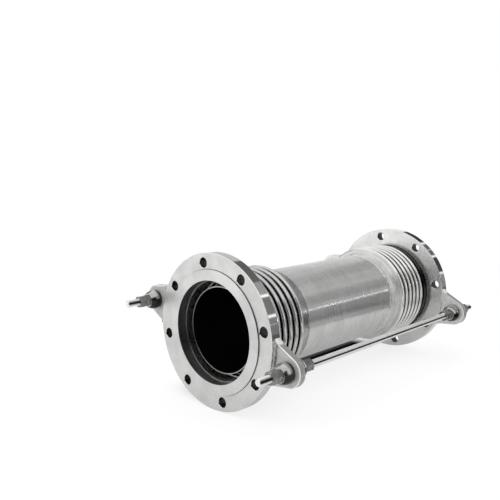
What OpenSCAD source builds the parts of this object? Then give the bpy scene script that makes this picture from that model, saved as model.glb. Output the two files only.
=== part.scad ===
// Tied lateral expansion joint: two flanged bellows with a pipe between them, held to
// length by two tie rods in ball seats. It lies on its flange rims, with the tie rods to
// its sides. The origin is the joint's centre, X is the pipe axis and Z is up.

/* [Overall] */
// Length over the two sealing faces
overall_l = 710; // [660:5:900]
// Slope of the tie-rod plane against the floor, in degrees
lug_turn = 11.7; // [0:0.1:22]

/* [Flanges] */
// Outside diameter of a flange
flange_d = 335; // [330:1:350]
// Thickness of a flange plate, without its raised face
flange_t = 24; // [20:1:30]
// Height of the raised face
face_h = 3; // [2:0.5:4]
// Distance from the bolt circle to the flange's rim
bolt_edge = 20; // [18:0.5:24]
// Number of flange bolts
bolt_count = 8; // [8, 12]
// Diameter of a bolt hole
bolt_hole_d = 22; // [18:1:23]
// Distance from the raised face to the bolt holes
face_clear = 2.5; // [1:0.5:6]
// Bevel on the flange's edges
flange_bevel = 1; // [0.5:0.5:2]

/* [Centre pipe] */
// Outside diameter of the centre pipe
pipe_d = 216; // [208:1:217]
// Wall of the centre pipe
pipe_wall = 4; // [3:0.5:8]
// Radius of the weld bead at each cuff
bead_r = 1.8; // [1:0.2:3]

/* [Bellows] */
// Number of convolutions in each bellows
convolutions = 6; // [4:1:7]
// Distance from one crest to the next
pitch = 18.4; // [16:0.2:20]
// Height of a convolution from root to crest
wave_h = 18.5; // [15:0.5:20]
// Depth of the roots below the pipe's surface
root_drop = 1.5; // [0:0.5:3]
// Thickness of one ply
ply_t = 0.5; // [0.4:0.1:0.6]
// Number of plies
plies = 3; // [2, 3]
// Depth that the bellows' plain end reaches into the flange bore
tail_in = 3; // [2:1:8]
// Plain length between the collar and the first convolution
neck_l = 8.3; // [4:0.1:14]
// Length of the cuff over the pipe
cuff_l = 27; // [20:1:40]
// Length of pipe inside the cuff
cuff_lap = 22; // [12:1:20]

/* [Collars] */
// Wall of the collar behind a flange
collar_wall = 9.5; // [6:0.5:12]
// Length of the collar
collar_l = 13; // [8:1:20]
// Bevel on the collar's free edge
collar_bevel = 1.5; // [0.5:0.5:2]

/* [Liners] */
// Space between a liner's sleeve and the pipe
liner_space = 10; // [10:0.5:18]
// Wall of a liner
liner_wall = 2; // [1.5:0.5:3]
// Distance of the outlet liner's free edge behind the near sealing face
liner_setback = 29; // [26:1:60]
// Reach of a liner past the last convolution, inside the pipe
liner_reach = 16; // [8:1:20]
// Length of the band that each liner is welded by
liner_band = 8; // [5:1:9]
// Depth of the inlet liner's band in the flange bore
liner_sink = 2; // [1:0.5:3]

/* [Lugs] */
// Distance of a tie rod from the flange's rim
rod_out = 35.5; // [33:0.5:50]
// Thickness of a lug
lug_t = 16; // [12:1:20]
// Radius of a lug's rounded end
lug_end_r = 32; // [30:1:34]
// Width of a lug where it meets the rim
lug_base_w = 93; // [76:1:110]
// Hole for the tie rod
lug_hole_d = 20; // [19:0.5:22]
// Leg of the weld between lug and rim
lug_weld = 7; // [3:1:8]

/* [Tie rods] */
// Thread diameter of a tie rod
thread_d = 16; // [15:0.5:16.5]
// Shank diameter between the threads
shank_d = 14.7; // [13:0.1:15]
// Length of stud left past the outer nuts
stud_out = 30; // [12:1:40]
// Length of thread left past the inner nuts
thread_spare = 6; // [2:1:20]
// Bevel at the stud's end
stud_bevel = 2; // [0.5:0.5:3]
// Width of a nut across its flats
nut_af = 24; // [22:1:27]
// Height of a nut
nut_h = 13; // [10:0.5:16]

/* [Ball seats] */
// Radius of the ball face, about the lug's middle
ball_r = 25; // [24:0.5:27]
// Outside diameter of a seat ring
seat_d = 39.6; // [36:0.2:40]
// Diameter of a cup's lip
cup_lip_d = 43; // [43:0.5:46]
// Diameter of a cup at its nut
cup_top_d = 31; // [28:0.5:33]
// Height of a cup over its lip
cup_h = 18; // [15:0.5:20]

/* [Fits] */
// Gap between sleeves that slip over each other
slip_gap = 0.25; // [0.1:0.05:0.4]
// Gap between a lug and the rim, closed by its weld
lug_gap = 0.1; // [0.05:0.05:0.3]
// Radial gap between rod and nut
thread_gap = 0.1; // [0.05:0.05:0.2]
// Radial gap between rod and cup
cup_bore_gap = 0.5; // [0.2:0.1:1]
// Gap in the near ball seats
near_ball_gap = 0.3; // [0.2:0.05:0.6]
// Gap in the far ball seats, which also take the rods' shortening
far_ball_gap = 0.65; // [0.6:0.05:0.9]

/* [Hidden] */
$fn = 128;
ARC_FN = 48;
CUT = 1;
ENDS = ["near", "far"];
SIDES = ["left", "right"];
FACES = ["outer", "inner"];
NUTS_A_STACK = 2;
HEX_HALF = 30;
NUT_BEVEL = 30;
NUT_FACE_SHARE = 0.95;
FLARE = 45;

flange_r = flange_d / 2;
bolt_circle_r = flange_r - bolt_edge;
face_r = bolt_circle_r - bolt_hole_d / 2 - face_clear;
pipe_r = pipe_d / 2;
wall = ply_t * plies;
tail_r_in = pipe_r + slip_gap;
tail_r_out = tail_r_in + wall;
bore_r = tail_r_out + slip_gap;
collar_r = bore_r + collar_wall;
sleeve_r = pipe_r - pipe_wall - liner_space;
flange_back = face_h + flange_t;
collar_end = flange_back + collar_l;
waves_start = collar_end + neck_l;
waves_end = waves_start + convolutions * pitch;
cuff_end = waves_end + cuff_l;
pipe_start = cuff_end - cuff_lap;

bend_mid = pitch / 4;
bend_in = bend_mid - wall / 2;
bend_out = bend_mid + wall / 2;
root_r = pipe_r - root_drop;
crest_r = root_r + wave_h;
crest_centre_r = crest_r - bend_out;
root_centre_r = root_r + bend_in;
tail_centre_r = tail_r_out + bend_in;

rod_reach = flange_r + rod_out;
lug_front = flange_back - lug_t;
lug_mid = flange_back - lug_t / 2;
lug_corner = [lug_base_w / 2, sqrt(flange_r * flange_r - lug_base_w * lug_base_w / 4)];
lug_seat_r = flange_r + lug_gap;

seat_edge_z = sqrt(ball_r * ball_r - seat_d * seat_d / 4);
cup_top_z = seat_edge_z + cup_h;
stack_z = cup_top_z + NUTS_A_STACK * nut_h;
stud_z = stack_z + stud_out;
thread_z = stack_z + thread_spare;
rod_span = overall_l - 2 * lug_mid;
nut_ac = nut_af / cos(HEX_HALF);

function end_nodes(piece) = [for (e = ENDS) str(e, "_", piece)];
function side_nodes(piece) = [for (e = ENDS) for (s = SIDES) str(e, "_", s, "_", piece)];
function stack_nodes(piece) =
    [for (e = ENDS) for (s = SIDES) for (f = FACES) str(e, "_", s, "_", f, "_", piece)];
function side_y(side) = side == "left" ? rod_reach : -rod_reach;

// Frames: each end has its own, with Z from the sealing face into the joint and Y along
// the lug line. A ball joint's frame has Z away from the middle of its lug.
module laid() {
    rotate([lug_turn, 0, 0]) translate([-overall_l / 2, 0, 0]) children();
}

module at_end(end) {
    laid()
        if (end == "near") rotate([0, 90, 0]) children();
        else translate([overall_l, 0, 0]) rotate([0, -90, 0]) children();
}

module at_ball(end, side, face) {
    at_end(end)
        translate([0, side_y(side), lug_mid])
            if (face == "inner") children();
            else rotate([180, 0, 0]) children();
}

// A ring section between two radii and two heights
module band(r_in, r_out, z_low, z_high) {
    translate([r_in, z_low]) square([r_out - r_in, z_high - z_low]);
}

// Plate flange with a raised face, bored for the bellows and drilled off the lug line
module flange() {
    color("gainsboro")
        difference() {
            rotate_extrude()
                polygon([
                    [bore_r, flange_bevel],
                    [bore_r + flange_bevel, 0],
                    [face_r - flange_bevel, 0],
                    [face_r, face_h],
                    [flange_r - flange_bevel, face_h],
                    [flange_r, face_h + flange_bevel],
                    [flange_r, flange_back - flange_bevel],
                    [flange_r - flange_bevel, flange_back],
                    [bore_r, flange_back]]);
            for (k = [0:bolt_count - 1])
                rotate((k + 0.5) * 360 / bolt_count)
                    translate([bolt_circle_r, 0, -CUT])
                        cylinder(d = bolt_hole_d, h = flange_back + 2 * CUT);
        }
}

// Reinforcing collar over the bellows' plain end, with a bead where it is welded on
module collar() {
    color("silver")
        rotate_extrude() {
            polygon([
                [bore_r, flange_back],
                [collar_r, flange_back],
                [collar_r, collar_end - collar_bevel],
                [collar_r - collar_bevel, collar_end],
                [bore_r, collar_end]]);
            difference() {
                translate([collar_r, flange_back]) circle(r = bead_r, $fn = ARC_FN);
                band(0, flange_r, 0, flange_back);
            }
        }
}

// Half of a bend in the bellows wall: outward over a crest, inward round a root
module bend(centre_r, z, outward) {
    difference() {
        translate([centre_r, z]) circle(r = bend_out, $fn = ARC_FN);
        translate([centre_r, z]) circle(r = bend_in, $fn = ARC_FN);
        if (outward) band(centre_r - pitch, centre_r, z - pitch, z + pitch);
        else band(centre_r, centre_r + pitch, z - pitch, z + pitch);
    }
}

// U-shaped convolutions of equal bends and straight flanks, with a plain end at each side
module bellows() {
    color("lightgray")
        rotate_extrude() {
            band(tail_r_in, tail_r_out, flange_back - tail_in, waves_start);
            band(tail_r_in, tail_r_out, waves_end, cuff_end);
            intersection() {
                bend(tail_centre_r, waves_start, false);
                band(0, crest_r, waves_start, waves_end);
            }
            intersection() {
                bend(tail_centre_r, waves_end, false);
                band(0, crest_r, waves_start, waves_end);
            }
            for (k = [1:convolutions - 1]) bend(root_centre_r, waves_start + k * pitch, false);
            for (k = [0:convolutions - 1]) {
                crest_z = waves_start + (k + 0.5) * pitch;
                low_r = k == 0 ? tail_centre_r : root_centre_r;
                high_r = k == convolutions - 1 ? tail_centre_r : root_centre_r;
                bend(crest_centre_r, crest_z, true);
                band(low_r, crest_centre_r, crest_z - bend_out, crest_z - bend_in);
                translate([0, crest_z]) band(high_r, crest_centre_r, bend_in, bend_out);
            }
        }
}

// Pipe between the bellows, with the bead that joins each cuff to it
module centre_pipe() {
    color("darkgray")
        rotate_extrude() {
            band(pipe_r - pipe_wall, pipe_r, pipe_start, overall_l - pipe_start);
            for (z = [cuff_end + bead_r, overall_l - cuff_end - bead_r])
                difference() {
                    translate([pipe_r, z]) circle(r = bead_r, $fn = ARC_FN);
                    band(0, pipe_r - pipe_wall / 2, 0, overall_l);
                }
        }
}

// Sleeve with one end flared out at 45 degrees to the band that it is welded by
module liner(free_z, flare_z, band_r) {
    step = band_r - sleeve_r;
    way = flare_z > free_z ? 1 : -1;
    mitre = way * liner_wall * tan(FLARE / 2);
    band_z = flare_z + way * step;
    end_z = band_z + way * liner_band;
    color("silver")
        rotate_extrude()
            polygon([
                [sleeve_r, free_z],
                [sleeve_r, flare_z],
                [band_r, band_z],
                [band_r, end_z],
                [band_r - liner_wall, end_z],
                [band_r - liner_wall, band_z + mitre],
                [sleeve_r - liner_wall, flare_z + mitre],
                [sleeve_r - liner_wall, free_z]]);
}

// Outlet liner: carried by the centre pipe, free in the near flange
module outlet_liner() {
    liner(liner_setback, waves_end + cuff_l + liner_reach, pipe_r - pipe_wall - slip_gap);
}

// Inlet liner: carried in the far flange's bore, free inside the centre pipe
module inlet_liner() {
    band_r = bore_r - slip_gap;
    flare_z = liner_sink + liner_band + band_r - sleeve_r;
    liner(waves_end + liner_reach, flare_z, band_r);
}

// Outline of a lug: straight sides run tangent from its rounded end to the rim
module lug_outline() {
    centre = [0, rod_reach];
    arm = lug_corner - centre;
    lean = acos(lug_end_r / norm(arm)) + atan2(arm.y, arm.x);
    touch = centre + lug_end_r * [cos(lean), sin(lean)];
    difference() {
        union() {
            translate(centre) circle(r = lug_end_r);
            polygon([
                lug_corner, touch, centre,
                [-touch.x, touch.y], [-lug_corner.x, lug_corner.y]]);
        }
        circle(r = lug_seat_r);
        translate(centre) circle(d = lug_hole_d);
    }
}

// Lug plate with the fillet weld that joins its front face to the rim
module lug() {
    color("whitesmoke") {
        translate([0, 0, lug_front]) linear_extrude(lug_t) lug_outline();
        intersection() {
            translate([0, 0, lug_front - lug_weld]) linear_extrude(lug_weld + CUT) lug_outline();
            rotate_extrude()
                polygon([
                    [lug_seat_r, lug_front + CUT],
                    [lug_seat_r, lug_front - lug_weld],
                    [lug_seat_r + lug_weld, lug_front],
                    [lug_seat_r + lug_weld, lug_front + CUT]]);
        }
    }
}

// Tie rod: reduced shank with a bevelled thread at each end
module tie_rod() {
    color("silver")
        translate([0, 0, -stud_z])
            rotate_extrude()
                polygon([
                    [0, 0],
                    [thread_d / 2 - stud_bevel, 0],
                    [thread_d / 2, stud_bevel],
                    [thread_d / 2, stud_z + thread_z],
                    [shank_d / 2, stud_z + thread_z + (thread_d - shank_d) / 2],
                    [shank_d / 2, stud_z + rod_span - thread_z - (thread_d - shank_d) / 2],
                    [thread_d / 2, stud_z + rod_span - thread_z],
                    [thread_d / 2, 2 * stud_z + rod_span - stud_bevel],
                    [thread_d / 2 - stud_bevel, 2 * stud_z + rod_span],
                    [0, 2 * stud_z + rod_span]]);
}

// Seat ring: flat on the lug, with a ball face about the lug's middle
module seat() {
    color("gainsboro")
        rotate_extrude()
            intersection() {
                circle(r = ball_r);
                band(lug_hole_d / 2, seat_d / 2, lug_t / 2, ball_r);
            }
}

// Cup: domed outside from lip to nut, hollowed to ride over the seat ring's ball face
module cup(ball_gap) {
    lip_r = cup_lip_d / 2;
    draw_in = lip_r - cup_top_d / 2;
    dome_r = (draw_in * draw_in + cup_h * cup_h) / (2 * draw_in);
    color("gainsboro")
        rotate_extrude()
            difference() {
                intersection() {
                    translate([lip_r - dome_r, seat_edge_z]) circle(r = dome_r);
                    band(thread_d / 2 + cup_bore_gap, lip_r, seat_edge_z, cup_top_z);
                }
                circle(r = ball_r + ball_gap);
            }
}

// Hexagon nut, bevelled at both faces, in the first or second place on its stack
module nut(place) {
    face_r = nut_af / 2 * NUT_FACE_SHARE;
    corner_r = nut_ac / 2;
    rise = (corner_r - face_r) * tan(NUT_BEVEL);
    color("dimgray")
        translate([0, 0, cup_top_z + place * nut_h])
            difference() {
                intersection() {
                    cylinder(d = nut_ac, h = nut_h, $fn = 6);
                    rotate_extrude()
                        polygon([
                            [0, 0],
                            [face_r, 0],
                            [corner_r, rise],
                            [corner_r, nut_h - rise],
                            [face_r, nut_h],
                            [0, nut_h]]);
                }
                translate([0, 0, -CUT]) cylinder(r = thread_d / 2 + thread_gap, h = nut_h + 2 * CUT);
            }
}

at_end("near") centre_pipe();
at_end("near") outlet_liner();
at_end("far") inlet_liner();
for (e = ENDS) {
    at_end(e) flange();
    at_end(e) collar();
    at_end(e) bellows();
}
for (s = SIDES) {
    at_ball("near", s, "inner") tie_rod();
}
for (e = ENDS) for (s = SIDES) {
    at_end(e) rotate(s == "left" ? 0 : 180) lug();
}
for (e = ENDS) for (s = SIDES) for (f = FACES) {
    stack = str(e, "_", s, "_", f, "_");
    ball_gap = e == "near" ? near_ball_gap : far_ball_gap;
    at_ball(e, s, f) seat();
    at_ball(e, s, f) cup(ball_gap);
    at_ball(e, s, f) nut(0);
    at_ball(e, s, f) nut(1);
}
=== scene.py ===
"""Dresses a tied lateral expansion joint: two flanged bellows, the pipe between them and two tie rods.

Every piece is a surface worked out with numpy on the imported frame's own sizes. A piece is a
profile turned about an axis, a closed loop carried round a hole, or a grid between two outlines.
"""

import logging
import math
from dataclasses import dataclass
from enum import Enum
from itertools import product

import bmesh
import bpy
import numpy as np
from mathutils import Matrix, Vector


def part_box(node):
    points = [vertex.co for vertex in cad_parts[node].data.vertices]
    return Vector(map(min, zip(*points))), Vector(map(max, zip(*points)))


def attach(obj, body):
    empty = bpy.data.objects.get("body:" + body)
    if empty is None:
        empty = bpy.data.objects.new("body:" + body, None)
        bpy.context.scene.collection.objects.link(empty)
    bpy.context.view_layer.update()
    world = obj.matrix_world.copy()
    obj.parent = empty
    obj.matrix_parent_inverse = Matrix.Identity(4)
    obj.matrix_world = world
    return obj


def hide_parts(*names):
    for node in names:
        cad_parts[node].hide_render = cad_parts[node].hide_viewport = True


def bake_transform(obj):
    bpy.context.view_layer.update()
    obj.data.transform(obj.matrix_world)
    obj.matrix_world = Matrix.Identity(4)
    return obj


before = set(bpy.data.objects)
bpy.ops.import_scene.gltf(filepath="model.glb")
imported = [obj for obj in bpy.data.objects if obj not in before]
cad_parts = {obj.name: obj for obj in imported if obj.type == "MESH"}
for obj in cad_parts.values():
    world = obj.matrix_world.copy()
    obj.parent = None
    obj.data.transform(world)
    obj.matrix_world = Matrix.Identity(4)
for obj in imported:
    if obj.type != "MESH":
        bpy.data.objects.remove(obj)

logging.basicConfig(level=logging.INFO, format="%(message)s")
LOG = logging.getLogger("expansion_joint")

Pair = tuple[float, float]
Socket = bpy.types.NodeSocket

RADIUS = "straight_radius"
MM = 0.001
TURN = 2.0 * math.pi
SMOOTH_BELOW = math.radians(35.0)
MERGE = 1.0e-6
PIPE_AXIS = (1.0, 0.0, 0.0)


class End(Enum):
    """The two ends of the joint."""

    NEAR = "near"
    FAR = "far"

    @property
    def sign(self) -> float:
        """1 at the near end, -1 at the far end."""
        return 1.0 if self is End.NEAR else -1.0

    @property
    def body(self) -> str:
        """The CAD body of this end."""
        return f"{self.value}_end"


class Side(Enum):
    """The two tie rods, by the side of the pipe that they run on."""

    LEFT = "left"
    RIGHT = "right"

    @property
    def sign(self) -> float:
        """1 on the left, -1 on the right."""
        return 1.0 if self is Side.LEFT else -1.0


class Face(Enum):
    """The two faces of a lug: away from the joint, and towards it."""

    OUTER = "outer"
    INNER = "inner"


class Lay(Enum):
    """The way that tool marks run on a surface."""

    TURNED = "rings about the piece's own axis, on its faces and on its sides"
    ROUND = "long scratches round the pipe axis"
    DRAWN = "long scratches along the pipe axis"
    GRAIN = "an even grain with no direction"


def linear(code: str) -> tuple[float, float, float, float]:
    """Turns a hex sRGB colour into linear light.

    Args:
        code: The colour as "#rrggbb".

    Returns:
        Red, green, blue and an alpha of 1.
    """
    share = [int(code[i : i + 2], 16) / 255.0 for i in (1, 3, 5)]
    light = [c / 12.92 if c <= 0.04045 else ((c + 0.055) / 1.055) ** 2.4 for c in share]
    return light[0], light[1], light[2], 1.0


def add_node(
    tree: bpy.types.NodeTree, kind: str, values: dict | None = None, **settings: object
) -> bpy.types.Node:
    """Adds a node with its settings, its socket values and the links into it.

    Args:
        tree: The node tree.
        kind: The node's Blender type.
        values: For each input, by name or number, a plain value or the output linked to it.
        **settings: The node's own properties.

    Returns:
        The new node.
    """
    node = tree.nodes.new(kind)
    for name, value in settings.items():
        setattr(node, name, value)
    for key, value in (values or {}).items():
        if isinstance(value, Socket):
            tree.links.new(value, node.inputs[key])
        else:
            node.inputs[key].default_value = value
    return node


def show(name: str, data: bpy.types.ID) -> bpy.types.Object:
    """Puts a mesh, camera or lamp in the scene as an object at the origin.

    Args:
        name: The object's name.
        data: The mesh, camera or lamp.

    Returns:
        The object.
    """
    thing = bpy.data.objects.new(name, data)
    bpy.context.scene.collection.objects.link(thing)
    return thing


@dataclass(frozen=True)
class Nodes:
    """Adds nodes to one tree. Each method that adds one returns its output."""

    tree: bpy.types.NodeTree

    @classmethod
    def cleared(cls, owner: bpy.types.Material | bpy.types.World) -> "Nodes":
        """Empties the node tree of a material or world.

        Args:
            owner: The material or world.

        Returns:
            The nodes to be added.
        """
        owner.use_nodes = True
        owner.node_tree.nodes.clear()
        return cls(owner.node_tree)

    def out(self, kind: str, output: str, values: dict | None = None, **settings: object) -> Socket:
        """Adds any node, and returns the output of that name."""
        return add_node(self.tree, kind, values, **settings).outputs[output]

    def math(self, operation: str, *values: object) -> Socket:
        """Works out a number."""
        return self.out("ShaderNodeMath", "Value", dict(enumerate(values)), operation=operation)

    def vector(self, operation: str, *values: object) -> Socket:
        """Works out a vector, or a vector's length."""
        output = "Value" if operation == "LENGTH" else "Vector"
        return self.out("ShaderNodeVectorMath", output, dict(enumerate(values)), operation=operation)

    def parts(self, vector: Socket) -> tuple[Socket, ...]:
        """Splits a vector into X, Y and Z."""
        return tuple(add_node(self.tree, "ShaderNodeSeparateXYZ", {"Vector": vector}).outputs)

    def noise(self, place: Socket, scale: float, detail: float) -> Socket:
        """Noise from 0 to 1."""
        values = {"Vector": place, "Scale": scale, "Detail": detail, "Roughness": 0.6}
        return self.out("ShaderNodeTexNoise", "Fac", values)

    def mix(self, share: object, first: object, second: object) -> Socket:
        """Mixes two colours.

        Args:
            share: Share of the second colour.
            first: The first colour.
            second: The second colour.

        Returns:
            The mixed colour.
        """
        values = {"Factor": share, "A": first, "B": second}
        node = add_node(self.tree, "ShaderNodeMix", values, data_type="RGBA")
        return next(output for output in node.outputs if output.type == "RGBA")

    def spread(
        self, value: Socket, low: float, high: float, to_low: float = 0.0, to_high: float = 1.0
    ) -> Socket:
        """Carries a value smoothly from one range to another, held at its ends.

        Args:
            value: The value.
            low: Start of its range.
            high: End of its range.
            to_low: Result at the start.
            to_high: Result at the end.

        Returns:
            The result.
        """
        values = {"Value": value, "From Min": low, "From Max": high, "To Min": to_low, "To Max": to_high}
        return self.out("ShaderNodeMapRange", "Result", values, interpolation_type="SMOOTHSTEP")

    def light_path(self, kind: str) -> Socket:
        """1 for rays of one kind."""
        return self.out("ShaderNodeLightPath", f"Is {kind} Ray")


@dataclass(frozen=True)
class SteelFinish:
    """A stainless steel surface, by how it was made.

    Lengths are in millimetres. Tool marks are a noise stretched along the lay, and dull patches
    are a wide noise that moves both the colour and the roughness. Painted shade on the lower side
    lies where the normal's height is between painted_shade_bottom and painted_shade_top, with soft
    borders. Painted groove shade is darkest at groove_shade_from_mm. A range is the part of a noise,
    or of a normal, that is spread from 0 to 1.
    """

    name: str
    colour: str
    patch_colour: str
    roughness: float
    patch_roughness: float
    lay: Lay
    mark_mm: float
    mark_depth_mm: float
    patch_mm: float
    stretch: float = 0.0
    painted_shade_colour: str = ""
    painted_shade_top: float = 0.25
    painted_shade_bottom: float = -2.0
    painted_shade_soft: float = 0.15
    groove_shade_colour: str = ""
    groove_shade_from_mm: float = 0.0
    groove_shade_to_mm: float = 0.0
    metallic: float = 1.0
    mark_roughness: float = 0.04
    mark_range: Pair = (0.3, 0.7)
    mark_stretch: float = 60.0
    patch_range: Pair = (0.35, 0.65)
    end_face_range: Pair = (0.9, 0.97)

    def material(self, centre: Pair = (0.0, 0.0)) -> bpy.types.Material:
        """Builds the material, with its rings centred on an axis along X.

        Args:
            centre: Y and Z of the axis, in metres.

        Returns:
            The material, made once for each centre.
        """
        title = f"{self.name}_{round(centre[0] / MM)}_{round(centre[1] / MM)}"
        found = bpy.data.materials.get(title)
        if found:
            return found
        steel = bpy.data.materials.new(title)
        nodes = Nodes.cleared(steel)
        place = nodes.out("ShaderNodeTexCoord", "Object")
        shift = {"Vector": place, "Location": (0.0, -centre[0], -centre[1])}
        local = nodes.out("ShaderNodeMapping", "Vector", shift)
        marks = self._marks(nodes, local)
        patches = nodes.spread(nodes.noise(local, 1.0 / (self.patch_mm * MM), 4.0), *self.patch_range)
        tone = nodes.mix(patches, linear(self.colour), linear(self.patch_colour))
        mark_rough = nodes.spread(marks, *self.mark_range, -self.mark_roughness, self.mark_roughness)
        patch_rough = nodes.spread(patches, 0.0, 1.0, self.roughness, self.patch_roughness)
        relief = {"Height": marks, "Distance": self.mark_depth_mm * MM, "Strength": 1.0}
        sockets = {
            "Base Color": self._painted_low_shade(nodes, self._painted_groove_shade(nodes, tone)),
            "Roughness": nodes.math("ADD", mark_rough, patch_rough),
            "Metallic": self.metallic,
            "Normal": nodes.out("ShaderNodeBump", "Normal", relief),
        }
        if self.stretch:
            sockets["Anisotropic"] = self.stretch
            sockets["Tangent"] = self._across_marks(nodes, local)
        shader = nodes.out("ShaderNodeBsdfPrincipled", "BSDF", sockets)
        add_node(nodes.tree, "ShaderNodeOutputMaterial", {"Surface": shader})
        return steel

    def _marks(self, nodes: Nodes, local: Socket) -> Socket:
        """Tool marks as a noise whose coordinates are stretched along the lay.

        Args:
            nodes: The material's nodes.
            local: Place from the piece's axis, in metres.

        Returns:
            The noise, from 0 to 1.
        """
        fine = 1.0 / (self.mark_mm * MM)
        coarse = fine / self.mark_stretch
        if self.lay is Lay.TURNED:
            x, y, z = nodes.parts(local)
            flat = nodes.out("ShaderNodeCombineXYZ", "Vector", {"Y": y, "Z": z})
            along = nodes.math("ADD", nodes.vector("LENGTH", flat), x)
            local = nodes.out("ShaderNodeCombineXYZ", "Vector", {"X": along})
        scale = {
            Lay.TURNED: (fine, 1.0, 1.0),
            Lay.ROUND: (fine, coarse, coarse),
            Lay.DRAWN: (coarse, fine, fine),
            Lay.GRAIN: (fine, fine, fine),
        }[self.lay]
        return nodes.noise(nodes.vector("MULTIPLY", local, scale), 1.0, 3.0)

    def _across_marks(self, nodes: Nodes, local: Socket) -> Socket:
        """Direction that highlights are drawn out in: along the surface, square to the marks.

        Marks run along the pipe axis, or round it as the cross product of the axis with the
        place. The direction is the cross product of the marks with the surface's normal.

        Args:
            nodes: The material's nodes.
            local: Place from the piece's axis, in metres.

        Returns:
            The direction.
        """
        normal = nodes.out("ShaderNodeNewGeometry", "Normal")
        way = PIPE_AXIS if self.lay is Lay.DRAWN else nodes.vector("CROSS_PRODUCT", PIPE_AXIS, local)
        return nodes.vector("NORMALIZE", nodes.vector("CROSS_PRODUCT", way, normal))

    def _painted_groove_shade(self, nodes: Nodes, colour: Socket) -> Socket:
        """Darkens the colour where the surface lies close to the axis: painted shade in the grooves.

        The radius is the piece's own attribute.

        Args:
            nodes: The material's nodes.
            colour: The colour outside the grooves.

        Returns:
            The colour with its grooves, or as it came where the finish has none.
        """
        if not self.groove_shade_colour:
            return colour
        radius = nodes.out("ShaderNodeAttribute", "Fac", attribute_name=RADIUS)
        share = nodes.spread(radius, self.groove_shade_from_mm * MM, self.groove_shade_to_mm * MM)
        return nodes.mix(share, linear(self.groove_shade_colour), colour)

    def _painted_low_shade(self, nodes: Nodes, colour: Socket) -> Socket:
        """Darkens the colour on the lower side: painted shade.

        End faces, whose normals lie along X, get none of it.

        Args:
            nodes: The material's nodes.
            colour: The colour above.

        Returns:
            The colour with its painted shade, or as it came where the finish has none.
        """
        if not self.painted_shade_colour:
            return colour
        x, _, z = nodes.parts(nodes.out("ShaderNodeNewGeometry", "Normal"))
        end_face = nodes.spread(nodes.math("ABSOLUTE", x), *self.end_face_range, 0.0, 2.0)
        rise, soft = nodes.math("ADD", z, end_face), self.painted_shade_soft
        above = nodes.spread(rise, self.painted_shade_top - soft, self.painted_shade_top + soft)
        below = nodes.spread(rise, self.painted_shade_bottom - soft, self.painted_shade_bottom + soft, 1.0, 0.0)
        return nodes.mix(nodes.math("MAXIMUM", above, below), linear(self.painted_shade_colour), colour)


# Real tool marks, such as a lathe's feed of 0.1 to 0.3 mm and the scratches of belts and dies, are
# too fine to show. So every mark below is drawn coarser, 0.8 mm or more.

# Fine lathe work on a plate flange: almost white, with faint rings and soft handling marks. The
# far flange's copy is painted brighter than the near one: painted light.
TURNED_FLANGES = {
    End.NEAR: SteelFinish(
        "turned_flange_steel", "#e2e2e1", "#d4d4d3", 0.28, 0.34, Lay.TURNED, 0.9, 0.004, 55.0, 0.6,
        metallic=0.85,
    ),
    End.FAR: SteelFinish(
        "bright_turned_flange_steel", "#f2f2f1", "#e6e6e5", 0.20, 0.26, Lay.TURNED, 0.9, 0.003, 55.0, 0.6,
        metallic=0.95,
    ),
}
# The rim comes off the lathe with a finer cut, so it mirrors what is round it in sharp patches.
POLISHED_RIM = SteelFinish(
    "polished_rim_steel", "#f0f0ef", "#e6e6e5", 0.09, 0.11, Lay.TURNED, 0.8, 0.001, 40.0
)
# The collar is turned smooth and painted nearly black, with a faint sheen: painted shade of the gap between
# the last convolution and the flange.
SHADED_COLLAR = SteelFinish(
    "painted_shade_collar", "#303030", "#262626", 0.16, 0.22, Lay.TURNED, 0.8, 0.003, 25.0
)
# The step under the raised face is cut in one pass with a sharp tool, and is painted dark grey as painted
# shade under the face's edge.
SHADED_STEP = SteelFinish("painted_shade_step", "#5c5c5b", "#505050", 0.30, 0.40, Lay.TURNED, 0.8, 0.004, 40.0)
# The bore is a rougher boring cut: grey, with open rings.
BORED_WALL = SteelFinish("bored_flange_wall", "#b4b4b3", "#a4a4a3", 0.34, 0.42, Lay.TURNED, 1.4, 0.02, 30.0)
# Drilled holes show the drill's rings, and are painted dark grey as painted shade inside them.
DRILLED_HOLE = SteelFinish("drilled_hole_steel", "#5c5c5b", "#4a4a49", 0.30, 0.40, Lay.ROUND, 4.0, 0.25, 8.0)
# Bright rolled sheet, pressed into convolutions: crests bright, roots painted black as painted shade.
# The far copy is painted brighter than the near one: painted light.
FORMED_SHEETS = {
    End.NEAR: SteelFinish(
        "formed_bellows_sheet", "#d2d2d1", "#c6c6c5", 0.20, 0.24, Lay.ROUND, 1.2, 0.001, 30.0, 0.6,
        groove_shade_colour="#060606", groove_shade_from_mm=118.5, groove_shade_to_mm=123.6, metallic=0.85,
    ),
    End.FAR: SteelFinish(
        "rubbed_bellows_sheet", "#f0f0ef", "#e6e6e5", 0.20, 0.24, Lay.ROUND, 1.2, 0.001, 30.0, 0.6,
        groove_shade_colour="#040404", groove_shade_from_mm=120.0, groove_shade_to_mm=123.6, metallic=0.75,
    ),
}
# The cuffs and necks are the same sheet, left flat and even. The far copy is painted paler than the near one:
# painted light.
CUFF_SHEETS = {
    End.NEAR: SteelFinish(
        "flat_cuff_sheet", "#bcbcbb", "#a8a8a7", 0.26, 0.32, Lay.ROUND, 1.5, 0.003, 30.0, 0.6
    ),
    End.FAR: SteelFinish(
        "rubbed_cuff_sheet", "#e6e6e5", "#d2d2d1", 0.28, 0.34, Lay.ROUND, 1.5, 0.002, 20.0, metallic=0.7
    ),
}
# Sheet rolled to a tube and rubbed down with a fine belt: satin, with long soft streaks.
SATIN_PIPE = SteelFinish(
    "satin_rolled_pipe", "#e6e6e5", "#dcdcdb", 0.30, 0.31, Lay.ROUND, 3.0, 0.00025, 45.0, 1.0
)
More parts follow.
